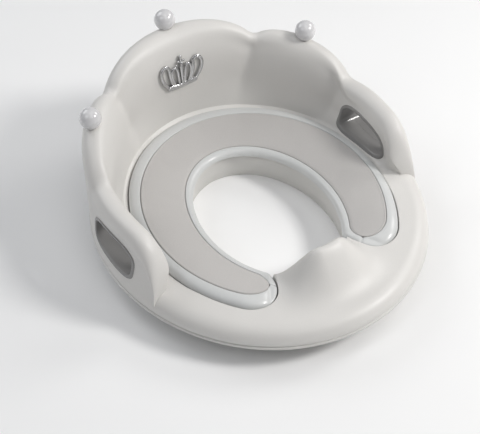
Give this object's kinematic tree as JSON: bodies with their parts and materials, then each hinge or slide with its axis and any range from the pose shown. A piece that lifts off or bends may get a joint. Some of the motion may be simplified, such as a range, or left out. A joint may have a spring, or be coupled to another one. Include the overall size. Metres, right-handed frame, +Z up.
{
  "type": "toddler toilet training seat",
  "caption": "Toddler toilet seat ring with a lobed crown backrest, two arms with grip openings, ball finials, a splash guard and a lift-out padded cushion.",
  "frame": {"origin": "middle of the base rim, level with the foot of the splash skirt", "axes": "+X to the right seen from the front, +Y toward the backrest, +Z up"},
  "size_m": [0.332, 0.3627, 0.1652],
  "materials": {
    "shell": "satin",
    "base": "satin",
    "frame": "gloss",
    "pad": "soft matte",
    "plate": "matte",
    "liner": "gloss",
    "ball": "pearl gloss",
    "emblem": "plated",
    "screw": "zinc plated",
    "strip": "matte"
  },
  "bodies": {
    "seat": {"upper_shell": "shell", "base_shell": "base", "grip_liner_left_inner": "liner", "grip_liner_left_outer": "liner", "grip_liner_right_inner": "liner", "grip_liner_right_outer": "liner", "ball_left": "ball", "ball_centre": "ball", "ball_right": "ball", "ball_screws": "screw", "crown_emblem": "emblem", "case_screws": "screw", "nonslip_strip_front_left": "strip", "nonslip_strip_front_right": "strip", "nonslip_strip_back_left": "strip", "nonslip_strip_back_right": "strip"},
    "cushion": {"cushion_frame": "frame", "cushion_pad": "pad", "pad_plate": "plate", "cushion_screws": "screw"}
  },
  "joints": [
    {"name": "cushion_lift", "type": "slide", "parent": "seat", "child": "cushion", "axis": [0, 0, 1], "range_m": [0, 0.16]}
  ]
}
